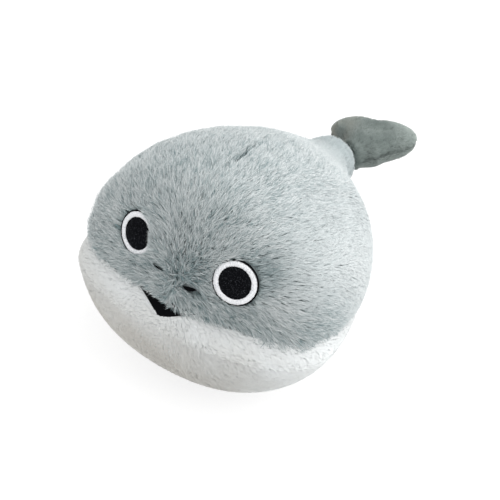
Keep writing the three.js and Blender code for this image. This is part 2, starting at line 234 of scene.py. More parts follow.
def make_mesh(name, points, faces, body, material, pile_data=None, normals=None):
    """A mesh from points in millimetres and a list of face arrays, one for each number of corners."""
    mesh = bpy.data.meshes.new(name)
    points = np.asarray(points, np.float32)
    mesh.vertices.add(len(points))
    mesh.vertices.foreach_set("co", (points / 1000).ravel())
    corners = np.concatenate([np.asarray(f, np.int32).ravel() for f in faces])
    sizes = np.concatenate([np.full(len(f), np.shape(f)[1], np.int32) for f in faces])
    mesh.loops.add(len(corners))
    mesh.loops.foreach_set("vertex_index", corners)
    mesh.polygons.add(len(sizes))
    mesh.polygons.foreach_set("loop_start", np.concatenate([[0], np.cumsum(sizes)[:-1]]).astype(np.int32))
    mesh.polygons.foreach_set("use_smooth", np.ones(len(sizes), bool))
    if pile_data is not None:
        layer = mesh.attributes.new("pile", "FLOAT_COLOR", "POINT")
        layer.data.foreach_set("color", pile_data.astype(np.float32).ravel())
    mesh.materials.append(material)
    mesh.update(calc_edges=True)
    if normals is not None:
        mesh.normals_split_custom_set_from_vertices(normals.astype(np.float32))
    piece = add_object(name, mesh)
    if body:
        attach(piece, body)
    return piece


def values_of(items, key, kind=np.float32):
    """Three numbers for each of a mesh's points or triangles."""
    values = np.empty(len(items) * 3, kind)
    items.foreach_get(key, values)
    return values.reshape(-1, 3)


def mesh_of(shape):
    """A mesh of this bmesh, which it frees."""
    mesh = bpy.data.meshes.new("mesh")
    shape.to_mesh(mesh)
    shape.free()
    return mesh


def arrays_of(shape):
    """Points, normals and triangles of this bmesh, which it frees."""
    mesh = mesh_of(shape)
    points = values_of(mesh.vertices, "co").astype(float)
    normals = values_of(mesh.vertex_normals, "vector").astype(float)
    triangles = values_of(mesh.polygons, "vertices", np.int32)
    bpy.data.meshes.remove(mesh)
    return points, normals, triangles


# Materials

def new_material(name, roughness, specular, sheen=0.0):
    material = bpy.data.materials.new(name)
    material.use_nodes = True
    shader = material.node_tree.nodes["Principled BSDF"]
    for key, value in (("Roughness", roughness), ("Specular IOR Level", specular),
                       ("Sheen Weight", sheen), ("Sheen Roughness", 0.5)):
        shader.inputs[key].default_value = value
    return material, material.node_tree, shader


def linear(red, green, blue):
    """A colour given in the 0 to 255 steps of a screen, as Blender's shaders take it."""
    steps = np.array([red, green, blue]) / 255
    return tuple(np.where(steps <= 0.04045, steps / 12.92, ((steps + 0.055) / 1.055) ** 2.4))


def feed(tree, socket, value):
    """Gives a node's input another node's output, a number, or a colour in the steps of a screen."""
    if isinstance(value, bpy.types.NodeSocket):
        tree.links.new(value, socket)
    else:
        socket.default_value = (*linear(*value), 1) if isinstance(value, tuple) else value


def colour_mix(tree, factor, first, second):
    node = tree.nodes.new("ShaderNodeMix")
    node.data_type = "RGBA"
    for place, value in ((0, factor), (6, first), (7, second)):
        feed(tree, node.inputs[place], value)
    return node.outputs[2]


def noise(tree, scale, detail=2.0):
    place = tree.nodes.new("ShaderNodeTexCoord")
    node = tree.nodes.new("ShaderNodeTexNoise")
    node.inputs["Scale"].default_value = scale
    node.inputs["Detail"].default_value = detail
    tree.links.new(place.outputs["Object"], node.inputs["Vector"])
    return node.outputs["Fac"]


def pile_material(name, root, tip, dark, tint_and_shade_colour):
    """Fibres that are darker at the root, as painted shade deep in the pile, with a tone of their own.
    The pile attribute holds the share along the fibre, its tone, which also carries painted shade and light, and
    its share of the tint and shade colour, which on the belly is a warm painted shade."""
    material, tree, shader = new_material(name, 0.8, 0.2, 0.25)
    attribute = tree.nodes.new("ShaderNodeAttribute")
    attribute.attribute_name = "pile"
    parts = tree.nodes.new("ShaderNodeSeparateColor")
    tree.links.new(attribute.outputs["Color"], parts.inputs[0])
    along = colour_mix(tree, parts.outputs[0], root, tip)
    toned = colour_mix(tree, parts.outputs[1], dark, along)
    tree.links.new(colour_mix(tree, parts.outputs[2], toned, tint_and_shade_colour), shader.inputs["Base Color"])
    return material


def cloth_material(name, colour, dark, scale=900, specular=0.1):
    material, tree, shader = new_material(name, 0.95, specular)
    base = colour_mix(tree, noise(tree, scale), colour, dark)
    tree.links.new(base, shader.inputs["Base Color"])
    bump = tree.nodes.new("ShaderNodeBump")
    bump.inputs["Strength"].default_value = 0.4
    bump.inputs["Distance"].default_value = 0.0004
    tree.links.new(noise(tree, scale * 1.6), bump.inputs["Height"])
    tree.links.new(bump.outputs["Normal"], shader.inputs["Normal"])
    return material


# Colours of the pile: at the root, darker as painted shade deep in the pile, and at the tip; in its darkest tone;
# and the tint and shade colour, a warm painted shade on the white pile and a brownish tint on the dark pile
PILE_COLOURS = {
    "grey": ((157, 175, 176), (226, 229, 229), (121, 142, 145), (121, 142, 145)),
    "white": ((234, 237, 237), (235, 238, 238), (196, 197, 195), (205, 203, 197)),
    "dark": ((104, 114, 112), (166, 176, 171), (92, 104, 101), (158, 154, 142)),
}
grey_pile, white_pile, dark_pile = [
    pile_material(f"{name}_pile_fibres", *colours) for name, colours in PILE_COLOURS.items()]
grey_cloth = cloth_material("grey_backing", (158, 168, 170), (140, 150, 152))
white_cloth = cloth_material("white_backing", (240, 242, 242), (230, 233, 234))
dark_cloth = cloth_material("dark_backing", (116, 126, 123), (104, 114, 111))
fibre = cloth_material("stuffing_fibre", (244, 244, 240), (226, 226, 222), 300)
felt = cloth_material("black_felt_fibres", (18, 19, 21), (8, 9, 10), 1500, 0.02)


def thread_material(name, colour, glint_and_shade_colour, roughness, scale, lightest, specular=0.2):
    """Thread with painted glints and shade: a noise sets specks of the second colour, lighter glints on the black
    threads and darker painted shade between the white stitches.
    """
    material, tree, shader = new_material(name, roughness, specular)
    ramp = tree.nodes.new("ShaderNodeValToRGB")
    ramp.color_ramp.elements[0].position = lightest - 0.1
    ramp.color_ramp.elements[1].position = lightest + 0.06
    tree.links.new(noise(tree, scale, 3), ramp.inputs[0])
    tree.links.new(colour_mix(tree, ramp.outputs[0], colour, glint_and_shade_colour), shader.inputs["Base Color"])
    return material


pupil_thread = thread_material("black_fill_thread", (11, 12, 15), (104, 107, 114), 0.8, 1700, 0.7, 0.03)
black_thread = thread_material("black_line_thread", (10, 11, 13), (40, 42, 48), 0.8, 1200, 0.72, 0.03)
white_thread = thread_material("white_satin_thread", (246, 247, 249), (196, 199, 205), 0.5, 1300, 0.6)

# The surface of the body and the tail stem: rings from the nose to the end of the stem

BODY_RINGS = 126
ROOT_RINGS = 40
STEM_RINGS = 8
DOME_RINGS = 15
COLUMNS = 208
angles = np.arange(COLUMNS) / COLUMNS * 2 * np.pi
stem_length = np.linalg.norm(STUMP_END - TAIL_PIVOT)
stem_axis = (STUMP_END - TAIL_PIVOT) / stem_length
stem_side = unit(np.array([1.0, 0, 0]) - stem_axis * stem_axis[0])
stem_up = np.cross(stem_side, stem_axis)


def body_rings():
    """Rings up to where the body begins to turn into the tail, and their course there."""
    last = math.acos(-((ROOT_START / REAR_LENGTH) ** (REAR_ROUND["along"] / 2))) / math.pi
    stations = np.arange(1, BODY_RINGS + 1)[:, None] / BODY_RINGS * last
    rings = body_points(*np.broadcast_arrays(stations, angles[None, :]))
    before = body_points(np.full(COLUMNS, last - 0.004), angles)
    return list(rings), unit(rings[-1] - before)


def tail_rings(start, course):
    """Rings that leave the body along its course, narrow to the stem and close in a dome."""
    circle = np.cos(angles)[:, None] * stem_side + np.sin(angles)[:, None] * stem_up
    end = TAIL_PIVOT + stem_axis * STEM_START + STEM_RADIUS * circle
    gap = np.linalg.norm(end - start, axis=1, keepdims=True)
    first, second = start + course * gap * ROOT_LEAVE, end - stem_axis * gap * ROOT_ARRIVE
    rings = []
    for share in np.arange(1, ROOT_RINGS + 1) / ROOT_RINGS:
        rest = 1 - share
        rings.append(rest ** 3 * start + 3 * rest ** 2 * share * first
                     + 3 * rest * share ** 2 * second + share ** 3 * end)
    for share in np.arange(1, STEM_RINGS + 1) / STEM_RINGS:
        middle = TAIL_PIVOT + stem_axis * mix(STEM_START, stem_length, share)
        rings.append(middle + mix(STEM_RADIUS, STUMP_RADIUS, share) * circle)
    for turn in np.arange(1, DOME_RINGS) / DOME_RINGS * math.pi / 2:
        middle = TAIL_PIVOT + stem_axis * (stem_length + STUMP_DOME * math.sin(turn))
        rings.append(middle + STUMP_RADIUS * math.cos(turn) * circle)
    return rings


def ring_grid(count, rows):
    """Faces between that many rows of points, each row a closed ring of count points."""
    i, j = np.meshgrid(np.arange(rows - 1), np.arange(count), indexing="ij")
    a = (i * count + j).ravel()
    b = (i * count + (j + 1) % count).ravel()
    return np.stack([a, b, b + count, a + count], 1)


def tube(rings):
    """Points and faces of rings, closed at each end with a fan."""
    count = len(rings)
    points = np.vstack(rings + [rings[0].mean(0), rings[-1].mean(0)])
    ring = np.arange(COLUMNS)
    after = np.roll(ring, -1)
    first = np.stack([np.full(COLUMNS, count * COLUMNS), ring, after], 1)
    tail = (count - 1) * COLUMNS
    last = np.stack([ring + tail, np.full(COLUMNS, count * COLUMNS + 1), after + tail], 1)
    return points, [ring_grid(COLUMNS, count)[:, [0, 3, 2, 1]], np.vstack([first, last])]


rings, course = body_rings()
rings += tail_rings(rings[-1], course)


def cut_surface(points, faces, planes):
    """The surface with edges along each plane, as triangles, with a smooth normal at each point."""
    mesh = bpy.data.meshes.new("cut")
    mesh.from_pydata(points.tolist(), [], [f for group in faces for f in group.tolist()])
    shape = bmesh.new()
    shape.from_mesh(mesh)
    bpy.data.meshes.remove(mesh)
    for place, normal in planes:
        geometry = shape.verts[:] + shape.edges[:] + shape.faces[:]
        bmesh.ops.bisect_plane(shape, geom=geometry, dist=1e-4, plane_co=place, plane_no=normal)
    bmesh.ops.triangulate(shape, faces=shape.faces[:])
    bmesh.ops.recalc_face_normals(shape, faces=shape.faces[:])
    return arrays_of(shape)


# The tail bends between these two places. The body's pieces end at the first.
BEND = {"start": (0, 0.122, 0.079), "end": (0, 0.148, 0.075)}
bend_start = np.array(BEND["start"]) * 1000
bend_course = unit(np.array(BEND["end"]) * 1000 - bend_start)


def on_stem(points):
    return (points - bend_start) @ bend_course > 0


grid, grid_faces = tube(rings)
surface, surface_normals, triangles = cut_surface(
    grid, grid_faces, [
        (Vector((0, 0, seam_height(0))), Vector((0, SEAM_SLOPE, 1)).normalized()),
        (Vector((0, 0, 0)), Vector((1, 0, 0))),
        (Vector(bend_start), Vector(bend_course)),
    ],
)
centres = surface[triangles].mean(1)
first, second, third = surface[triangles].transpose(1, 0, 2)
if not outward(centres, np.cross(second - first, third - first)):
    triangles = triangles[:, ::-1].copy()
    surface_normals = -surface_normals
above = centres[:, 2] > seam_height(centres[:, 1])
stem_faces = on_stem(centres)
surface_grooves = groove_depth(surface)


def shell(faces, depth):
    """A closed sheet of cloth under these faces of the surface."""
    used, renamed = np.unique(faces, return_inverse=True)
    faces = renamed.reshape(-1, 3)
    inward = surface_normals[used] * (surface_grooves[used] * GROOVE_SHARE + depth)[:, None]
    outer = surface[used] - inward
    inner = outer - surface_normals[used] * CLOTH_THICKNESS
    outer[:, 2] = np.maximum(outer[:, 2], FLOOR_GAP)
    inner[:, 2] = np.maximum(inner[:, 2], FLOOR_GAP + CLOTH_THICKNESS / 2)
    edges = np.vstack([faces[:, [0, 1]], faces[:, [1, 2]], faces[:, [2, 0]]])
    keys = edges.min(1).astype(np.int64) * len(used) + edges.max(1)
    index, count = np.unique(keys, return_index=True, return_counts=True)[1:]
    rim = edges[index[count == 1]]
    sides = np.stack([rim[:, 1], rim[:, 0], rim[:, 0] + len(used), rim[:, 1] + len(used)], 1)
    return np.vstack([outer, inner]), [np.vstack([faces, faces[:, ::-1] + len(used)]), sides]


for name, part, node, slot, material in (
        ("upper_cloth_left", above & (centres[:, 0] > 0), "upper_cover_left", "grey_pile", grey_cloth),
        ("upper_cloth_right", above & (centres[:, 0] <= 0), "upper_cover_right", "grey_pile", grey_cloth),
        ("belly_cloth", ~above, "belly_cover", "white_pile", white_cloth)):
    points, faces = shell(triangles[part & ~stem_faces], CLOTH_DEPTH[slot])
    piece = make_mesh(name, points, faces, "body", material)
    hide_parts(node)

points, faces = shell(triangles[stem_faces], CLOTH_DEPTH["grey_pile"])
stem_cloth = make_mesh("tail_stem_cloth", points, faces, None, grey_cloth)
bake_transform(stem_cloth)
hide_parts("tail_stem_cover")


def mesh_normals(points, faces):
    normals = np.zeros_like(points)
    for group in faces:
        a, b, c = points[group[:, 0]], points[group[:, 1]], points[group[:, 2]]
        cross = np.cross(b - a, c - a)
        for k in range(group.shape[1]):
            np.add.at(normals, group[:, k], cross)
    return unit(normals)


grid_normals = mesh_normals(grid, grid_faces)
if not outward(grid, grid_normals):
    grid_normals = -grid_normals
inside = grid - grid_normals * (FILLING_DEPTH + groove_depth(grid) * GROOVE_SHARE)[:, None]
inner_rings = list(inside[:len(rings) * COLUMNS].reshape(len(rings), COLUMNS, 3))
body_end = int(np.searchsorted([ring[:, 1].mean() for ring in rings], TAIL_PIVOT[1]))
points, faces = tube(inner_rings[:body_end])
stuffing = make_mesh("body_stuffing", points, faces, "body", fibre)
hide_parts("body_filling")
points, faces = tube(inner_rings[body_end + 1:])
stem_stuffing = make_mesh("tail_stem_stuffing", points, faces, None, fibre)
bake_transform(stem_stuffing)
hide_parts("tail_stem_filling")


# Pile: the four stations along a fibre, how wide it is there, and how much one fibre differs from the next
SHARES = np.array([0, 0.36, 0.72, 1])
THICKNESS = (0.85, 1.0, 0.62, 0)
LENGTHS = (0.75, 1.15)
LIFTS = (0.75, 1.1)
WIDTHS = (0.7, 1.25)


def tuft_places(points, normals, faces, spacing):
    """Places spread evenly over the faces, one for each square of that spacing."""
    corners = points[faces]
    areas = lengths(np.cross(corners[:, 1] - corners[:, 0], corners[:, 2] - corners[:, 0])) / 2
    total = np.cumsum(areas)
    count = int(total[-1] / spacing ** 2)
    picks = np.searchsorted(total, (np.arange(count) + random.uniform(0, 1, count)) / count * total[-1])
    picks = np.minimum(picks, len(faces) - 1)
    a, b = random.uniform(0, 1, (2, count, 1))
    over = a + b > 1
    a, b = np.where(over, 1 - a, a), np.where(over, 1 - b, b)
    shares = np.concatenate([1 - a - b, a, b], 1)[:, :, None]
    return (corners[picks] * shares).sum(1), unit((normals[faces[picks]] * shares).sum(1))


def pile(name, body, material, places, normals, lay, options):
    """Tufts of flat curved fibres, each lying over toward its lay.
    lay and most numbers in options may be arrays with one entry for each tuft."""
    fibres = options["fibres"]
    count = len(places) * fibres

    def spread(values):
        values = np.asarray(values, float)
        if values.ndim == 0:
            return np.full(count, values)
        return np.repeat(values, fibres, axis=0)

    def option(key):
        return spread(options[key])

    across = np.cross(normals, lay)
    offset = random.normal(0, 1, (2, count, 1)) * option("spread")[:, None]
    flow, side, up = spread(lay), spread(across), spread(normals)
    root = spread(places) + flow * offset[0] + side * offset[1]
    turn = random.normal(0, 1, count) * option("turn")
    turn = (turn + spread(random.normal(0, 1, len(places)) * options["tuft_turn"]))[:, None]
    heading = unit(flow * np.cos(turn) + side * np.sin(turn))
    wide = np.cross(up, heading)
    length = option("length") * random.uniform(*LENGTHS, count)
    depth = option("depth")
    lift = option("lift") * random.uniform(*LIFTS, count)
    tip_pull = -offset[1] * option("clump")[:, None]
    curl = random.normal(0, options["curl"], (count, 1))
    roll = random.normal(0, options["roll"], (count, 1))
    flat = wide * np.cos(roll) + up * np.sin(roll)
    width = option("width") * random.uniform(*WIDTHS, count)
    kept = np.ones(count, bool)
    if options["keep"]:
        length, kept = options["keep"](root, heading, length)
    points = []
    for share, thick in zip(SHARES, THICKNESS):
        rise = 1 - (1 - share) ** 1.7
        middle = (
            root + heading * (length * (0.12 * share + 0.88 * share ** 1.15))[:, None]
            + up * (lift * rise - depth)[:, None]
            + side * tip_pull * share ** 1.3
            + wide * curl * length[:, None] * share ** 2
        )
        half = flat * (width * thick / 2)[:, None]
        points += [middle - half, middle + half] if thick else [middle]
    points = np.stack(points, 1)[kept]
    points[:, :, 2] = np.maximum(points[:, :, 2], PILE_GAP)
    tone = spread(random.normal(0, 1, len(places)) * options["tuft_tone"])
    tone = tone + random.normal(0, 1, count) * option("tone")
    value = np.clip((option("light") + tone) * option("shade"), 0, 1)[kept]
    data = np.ones((len(points), 7, 4))
    along = np.repeat(SHARES, [2, 2, 2, 1])[None, :] ** 0.8
    data[:, :, 0] = mix(option("root")[kept][:, None], 1, along)
    data[:, :, 1] = value[:, None]
    data[:, :, 2] = option("tint_and_painted_shade")[kept][:, None]
    base = (np.arange(len(points)) * 7)[:, None]
    faces = [base + np.array([face]) for face in ([0, 2, 3, 1], [2, 4, 5, 3], [4, 6, 5])]
    soft = option("soft")[:, None]
    facing = unit(up * soft + np.cross(heading, flat) * (1 - soft))
    shading = np.repeat(facing[kept][:, None], 7, axis=1).reshape(-1, 3)
    return make_mesh(name, points.reshape(-1, 3), faces, body, material, data, shading)


def from_nose(points):
    """The ways to the points from the nearest place on the nose."""
    rise = np.clip((points - WHORL) @ NOSE_LINE / (NOSE_LINE @ NOSE_LINE), 0, 1)
    return points - WHORL - rise[:, None] * NOSE_LINE


def lay_of(points, normals):
    """The way the pile lies: it spreads from the nose, droops at the seam, parts on the crown and turns
    over the edge of the far eye."""
    away = unit(from_nose(points))
    x, y, z = points.T
    seam = z - seam_height(y)
    mouth = near_mouth(points)
    droop = 0.9 * bell(np.maximum(seam, 0), mix(6, 9, mouth)) * (seam > 0)
    arm = 0.9 * ease((x - 2) / 10) - 0.9 * ease((-3 - x) / 8)
    away[:, 2] -= droop * (1 + (0.5 + arm) * mouth + 1.2 * at_fringe(points))
    combed = mouth * ease((1 - x) / 9) * (z < WHORL[2])
    away[:, 0] -= 0.7 * combed
    away[:, 2] *= 1 - 0.8 * combed
    part = mix(0.2, 0.7, ease((y + 25) / 40)) * ease((75 - y) / 30)
    part *= bell(x, 3.5) * np.sign(x) * (seam > 10)
    away[:, 0] += part
    far_eye = EYES["right"]["centre"]
    toward = far_eye - points
    distance = lengths(toward)
    pull = 1.3 * bell(distance - EYE_RADIUS, 14) * ease((x - far_eye[0]) / 12)
    away += unit(toward) * pull[:, None]
    for axis in range(3):
        away[:, axis] += 0.16 * wobble(points, 34, 40 + axis) + 0.13 * wobble(points, 13, 50 + axis)
    return unit(away - normals * dot(away, normals))


# Eyes: the plane that each one lies in, from its solids

def node_points(name):
    return values_of(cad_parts[name].data.vertices, "co").astype(float) * 1000


def eye_seat(name):
    points = node_points(f"eye_pupil_{name}")
    centre = (points.min(0) + points.max(0)) / 2
    away = points - points.mean(0)
    normal = np.linalg.eigh(away.T @ away)[1][:, 0]
    if normal[1] > 0:
        normal = -normal
    side = unit(np.cross([0, 0, 1.0], normal))
    return {"centre": centre, "normal": normal, "side": side, "up": np.cross(normal, side)}


EYES = {name: eye_seat(name) for name in ("left", "right")}


def nostril_seat(name, rise, clear):
    """Where a nostril's stitches lie, and the half axes that the pile leaves clear."""
    points = node_points(f"nostril_stitch_{name}")
    centre = points.mean(0) + [0, 0, rise]
    away = points - centre
    along = np.linalg.eigh(away.T @ away)[1][:, 2]
    order = np.argsort(((surface - centre) ** 2).sum(1))[:6]
    normal = unit(surface_normals[order].mean(0))
    along = unit(along - normal * (along @ normal))
    return {"centre": centre, "normal": normal, "along": along, "across": np.cross(normal, along), "clear": clear}


NOSTRILS = {"left": nostril_seat("left", -0.5, (7.2, 3.2)), "right": nostril_seat("right", 0.6, (5.4, 1.7))}
EYE_RADIUS = 18
EYE_REACH = 45        # how far from an eye's middle a fibre may start and still cross it
NOSTRIL_REACH = 14    # how far one from a nostril's may end
SHORTEST = {"kept": 1.5, "over_mouth": 2.5}
OVERHANG = {"left": (1.0, 0.8), "right": (2.6, 0.3)}


def clear_of_face(root, heading, length):
    """Shortens fibres that would cross an eye, a nostril or the mouth, and leaves out those rooted there."""
    kept = np.ones(len(root), bool)
    for name, eye in EYES.items():
        away = root - eye["centre"]
        near = lengths(away) < EYE_REACH
        u, v = away @ eye["side"], away @ eye["up"]
        du, dv = heading @ eye["side"], heading @ eye["up"]
        size = np.maximum(np.hypot(du, dv), 1e-6)
        du, dv = du / size, dv / size
        inner, outer = OVERHANG[name]
        toward_middle = -u if name == "left" else u
        share = ease((toward_middle / EYE_RADIUS + 0.1) / 0.8)
        hang = mix(outer, inner, share) * random.uniform(mix(0.4, 0.75, share), 1.15)
        limit = EYE_RADIUS - hang
        b = u * du + v * dv
        c = u * u + v * v - limit * limit
        inside = b * b - c
        stop = np.where((inside > 0) & (b < 0), -b - np.sqrt(np.maximum(inside, 0)), np.inf)
        stop = np.where(c < 0, -1, stop)
        length = np.where(near & (stop < length), np.maximum(stop, 0), length)
        kept &= ~(near & (np.hypot(u, v) < EYE_RADIUS - 0.3))
    for seat in NOSTRILS.values():
        whole = length.copy()
        for share in np.linspace(1, 0, 11):
            away = root + heading * (whole * share)[:, None] - seat["centre"]
            over = np.hypot(away @ seat["along"] / seat["clear"][0], away @ seat["across"] / seat["clear"][1]) < 1
            over &= lengths(away) < NOSTRIL_REACH
            length = np.where(over, np.minimum(length, whole * (share - 0.1)), length)
    x, y, z = root.T
    drop = seam_height(y) - z
    hang = mix(0.3, 9, ease((x + 9) / 22)) * random.uniform(0.5, 1.3, len(root))
    fall = np.maximum(-heading[:, 2], 0.05)
    over = (y < MOUTH_BACK) & (np.abs(x - MOUTH[0]) < MOUTH_HALF - 3) & (drop > -14)
    longest = np.maximum((hang - drop) / fall, SHORTEST["over_mouth"])
    length = np.where(over, np.minimum(length, longest), length)
    in_mouth = (y < MOUTH_BACK) & (drop > 0) & (np.abs(x - MOUTH[0]) / MOUTH_HALF + drop / MOUTH_DROP < 1)
    kept &= ~in_mouth & (length > SHORTEST["kept"])
    return length, kept


# What the kinds of pile share, where they don't say otherwise
PILE = {
    "fibres": 4, "spread": 0.42, "turn": 0.1, "tuft_turn": 0.26, "clump": 0.75, "curl": 0.05, "roll": 0.35,
    "width": 0.5, "depth": 5.2, "lift": 4.9, "light": 0.7, "soft": 0.55, "shade": 1, "root": 0, "tint_and_painted_shade": 0,
    "keep": clear_of_face,
}
WHITE = {
    **PILE, "spread": 0.6, "width": 0.6, "turn": 0.22, "tuft_turn": 0.15, "tone": 0.02, "tuft_tone": 0.015,
    "light": 0.95, "length": 4.6, "depth": 1.4, "lift": 1.25, "clump": 0, "soft": 1.0, "roll": 0.1,
}
LOCK_SPACING = 1.58
HAIR_SPACING = 3.2
FLUKE_SPACING = 1.6
WHORL = np.array([-5.0, -76.0, 103.0])
NOSE_LINE = np.array([2.0, 3.0, 14.0])
FACE_SHADOW = (8, -70, 120)
EYE_DIMPLE_SHADOW = (66, -49, 138)
LIP_FRONT_SHADE = (28, -90, 74)
LIP_HOLLOW_SHADE = (64, -83, 77)

# Painted shade and painted light on the upper pile: place, radius and how much darker, which is below 0 for painted
# light
PAINTED_SHADE_SPOTS = [
    ((-21, -74, 111), 8, 0.12), ((-7, -51, 162), 24, -0.1), ((102, 5, 118), 34, -0.14),
    ((80, -58, 113), 18, -0.2), ((12, -47, 165), 18, 0.06), ((25, -72, 122), 9, -0.12),
    ((-45, -16, 171), 32, 0.16), ((-36, -14, 173), 16, 0.1), ((69, -59, 123), 11, -0.1),
    ((-76, -60, 106), 16, -0.06),
]


def beside_far_eye(points):
    """1 at the fish's right eye on the side of its nose, fading to 0 around it."""
    away = points - EYES["right"]["centre"]
    return bell(lengths(away), 24) * (away[:, 0] > -6)


def near_seam(points):
    """1 up to the belly seam, fading to 0 above it."""
    return bell(np.maximum(points[:, 2] - seam_height(points[:, 1]), 0), 6)


def over_mouth(points):
    """About 1 along the seam over the mouth, fading to 0 around it."""
    side = mix(0.1, 1.9, ease((points[:, 0] + 9) / 20))
    return np.minimum(near_mouth(points) * side, 1.15) * near_seam(points)


def calmness(points):
    """0 on the face, rising to 1 toward the fish's left flank and its tail."""
    return np.maximum(ease((points[:, 0] - 10) / 80), ease((points[:, 1] - 20) / 100))


places, normals = tuft_places(surface, surface_normals, triangles, LOCK_SPACING)
fringe = at_fringe(places) * near_seam(places)
at_nose = bell(lengths(from_nose(places)), 11)
extra = np.max([beside_far_eye(places), over_mouth(places), fringe, at_nose], axis=0) > 0.35
extra |= random.uniform(0, 1, len(places)) < 0.7 * ease((32 - np.abs(places[:, 1] - 136)) / 24)
places = np.vstack([places, places[extra] + random.normal(0, 0.5, (extra.sum(), 3))])
normals = np.vstack([normals, normals[extra]])
grooves = groove_depth(places)
lay = lay_of(places, normals)
x, y, z = places.T
seam_side = z - seam_height(y)
stem_tufts = on_stem(places)
under = (z < 3) & (random.uniform(0, 1, len(places)) < 0.6)

# The pile lies calmer away from the face, and looser again low on the front
calm = calmness(places)
calm *= 1 - 0.7 * ease((128 - z) / 25) * ease(-y / 40)
fringe = at_fringe(places) * near_seam(places)
overhang = np.maximum(over_mouth(places), 1.3 * fringe)
# Painted shade on the grey pile: a shadow in the middle of the face, mottled shade of the face's lumps, shade low
# on the front, a shadow in the dimple by the near eye and the spots of the table; below 0 it is painted light
darker = 0.27 * spot(places, FACE_SHADOW, 20)
darker += (1 - calm) * (0.02 + 0.07 * wobble(places, 12, 61))
darker += 0.13 * ease((138 - z) / 35) * ease((15 - y) / 40)
darker += 0.15 * spot(places, EYE_DIMPLE_SHADOW, 12)
for place, radius, shade in PAINTED_SHADE_SPOTS:
    darker += shade * spot(places, place, radius)
# Painted shade in the pile round the near eye, toward the flank and above it
eye = EYES["left"]
near_eye = places - eye["centre"]
rim = bell(lengths(near_eye) - 22, 7)
darker += 0.28 * rim * ease((near_eye @ eye["side"] + 2) / 14) * ease((near_eye @ eye["up"] + 13) / 12)
# Painted shade toward the tail stem, darker still at its end
stem_shade = 0.17 * ease((y - 95) / 30) + 0.1 * ease((y - 147) / 10)
at_nose = bell(lengths(from_nose(places)), 11)
loose = np.clip(np.maximum(overhang, beside_far_eye(places)), 0, 1)
PILE_CALM = {
    **PILE,
    "tuft_turn": mix(0.3, 0.14, calm) + 0.7 * at_nose,
    "tuft_tone": mix(0.32, 0.035, calm),
    "tone": mix(0.16, 0.04, calm),
    "light": mix(PILE["light"], 0.73, calm) - darker - stem_shade,
    "soft": mix(PILE["soft"], 0.9, calm),
    # Roots painted lighter on the calm flank: painted light over the shadows between the fibres
    "root": 0.4 * calm,
    "length": mix(9.5, 8.0, calm) + 3.5 * overhang + 1.6 * bell(seam_side, 5) * wobble(places, 18, 63),
    "lift": PILE["lift"] + 1.2 * overhang,
    "width": mix(mix(PILE["width"], 0.62, calm), 0.6, loose),
    "clump": mix(PILE["clump"], 0, loose),
    "turn": mix(PILE["turn"], 0.3, loose),
    "spread": mix(PILE["spread"], 0.9, loose),
}
# Painted shade on the white pile, mixed toward a warm colour: low on the belly's front, at the front of the lip and
# in a hollow of it, with a mottled tint over the body
belly_front = ease((20 - y) / 60)
tint_and_painted_shade = 0.8 * ease((88 - z) / 50) * ease((110 - x) / 70) * belly_front
tint_and_painted_shade += 0.35 * ease((92 - z) / 18) * ease((50 - x) / 70) * belly_front
tint_and_painted_shade += (0.06 * wobble(places, 13, 64) + 0.04 * wobble(places, 5, 65)) * ease((120 - y) / 40)
tint_and_painted_shade += 0.16 * spot(places, LIP_FRONT_SHADE, 18)
tint_and_painted_shade += 0.3 * spot(places, LIP_HOLLOW_SHADE, 16)
crest = ease((z - 55) / 15) * ease((20 - y) / 30)
WHITE_CREST = {
    **WHITE, "tint_and_painted_shade": np.clip(tint_and_painted_shade, 0, 1), "lift": mix(WHITE["lift"], 0.9, crest),
    "depth": mix(WHITE["depth"], 1.05, crest),
}
undulation = 0.8 * (1 - calm) * wobble(places, 16, 62)


def chosen_options(options, chosen):
    """These options for some of the tufts."""
    return {k: v[chosen] if isinstance(v, np.ndarray) else v for k, v in options.items()}


for level, part, options, slot, material in (
        ("upper", seam_side > 0, {**PILE_CALM, "depth": PILE["depth"] + undulation}, "grey_pile", grey_pile),
        ("belly", seam_side <= 0, WHITE_CREST, "white_pile", white_pile)):
    for side, at_side in (("left", x > 0), ("right", x <= 0)):
        for end, at_end in (("front", y < 0), ("rear", y >= 0)):
            chosen = part & at_side & at_end & ~under & ~stem_tufts
            chosen_set = chosen_options({**options, "depth": options["depth"] + grooves}, chosen)
            pile(f"{level}_pile_{side}_{end}", "body", material,
                 places[chosen], normals[chosen], lay[chosen], chosen_set)

# Longer light hairs that stand out of the face's pile
HAIRS = {
    **PILE, "fibres": 3, "spread": 0.7, "turn": 0.22, "tuft_turn": 0.3, "clump": 0.5, "curl": 0.12, "width": 0.36,
    "length": 13.0, "lift": 5.9, "tone": 0.12, "tuft_tone": 0.1, "light": 0.88, "soft": 0.6,
}
hairs, hair_ups = tuft_places(surface, surface_normals, triangles, HAIR_SPACING)
hairy = hairs[:, 2] > seam_height(hairs[:, 1]) + 2
hairy &= calmness(hairs) < random.uniform(0, 0.8, len(hairs))
hairs, hair_ups = hairs[hairy], hair_ups[hairy]
pile("upper_hairs", "body", grey_pile, hairs, hair_ups, lay_of(hairs, hair_ups),
     {**HAIRS, "depth": HAIRS["depth"] + groove_depth(hairs)})

STEM = {**PILE_CALM, "keep": None, "depth": PILE["depth"] + grooves}
stem_pile = pile("tail_stem_pile", None, grey_pile, places[stem_tufts], normals[stem_tufts],
                 lay[stem_tufts], chosen_options(STEM, stem_tufts))
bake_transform(stem_pile)


# Mouth: felt over the belly cloth, under the seam

